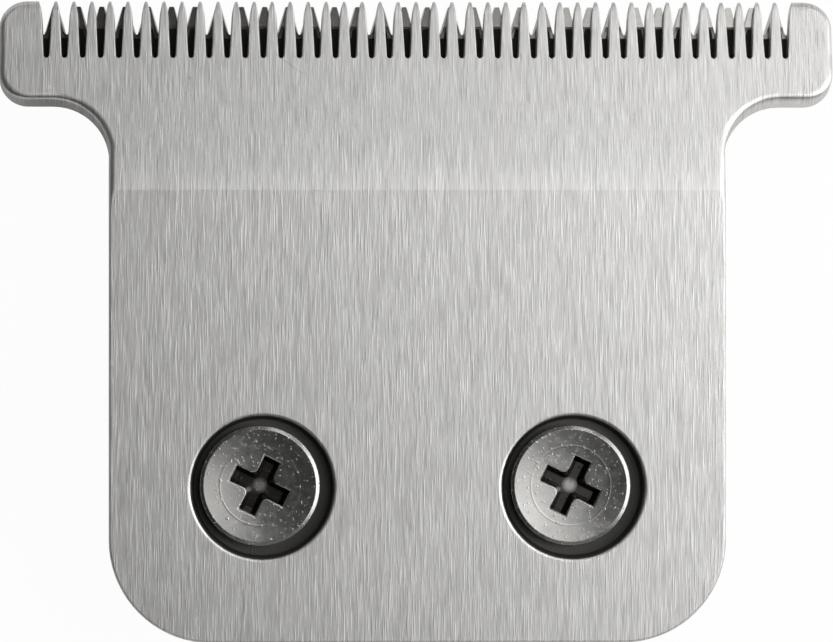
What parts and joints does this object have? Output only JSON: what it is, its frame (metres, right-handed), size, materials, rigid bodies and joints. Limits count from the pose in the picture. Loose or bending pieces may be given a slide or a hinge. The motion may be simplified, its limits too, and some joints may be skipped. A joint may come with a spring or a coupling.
{
  "type": "hair clipper blade",
  "caption": "T-shaped trimmer blade set: a bent, toothed steel comb screwed to a moulded seat, with a spring-pressed sliding cutter and its drive fork behind.",
  "frame": {"origin": "under the middle of the set as it lies on its back, on the plane of the seat's rim", "axes": "+X to the right as the comb is looked at, +Y towards the tooth tips, +Z out of the comb's flat lower face"},
  "size_m": [0.04, 0.0307, 0.0086],
  "materials": {
    "brushed_steel": "brushed along the blade",
    "cutter_steel": "ground, dark scale in the hollow",
    "nickel_plate": "bright nickel plate",
    "black_plastic": "fine moulded grain",
    "follower_plastic": "natural acetal",
    "spring_wire": "drawn wire"
  },
  "bodies": {
    "blade_base": {"fixed_blade": "brushed_steel", "blade_seat": "black_plastic", "tension_spring": "spring_wire", "screw_left": "nickel_plate", "screw_right": "nickel_plate"},
    "cutter": {"moving_blade": "cutter_steel", "drive_follower": "follower_plastic"}
  },
  "joints": [
    {"name": "cutter_slide", "type": "slide", "parent": "blade_base", "child": "cutter", "axis": [1, 0, 0], "range_m": [-0.0009, 0.0009]}
  ]
}
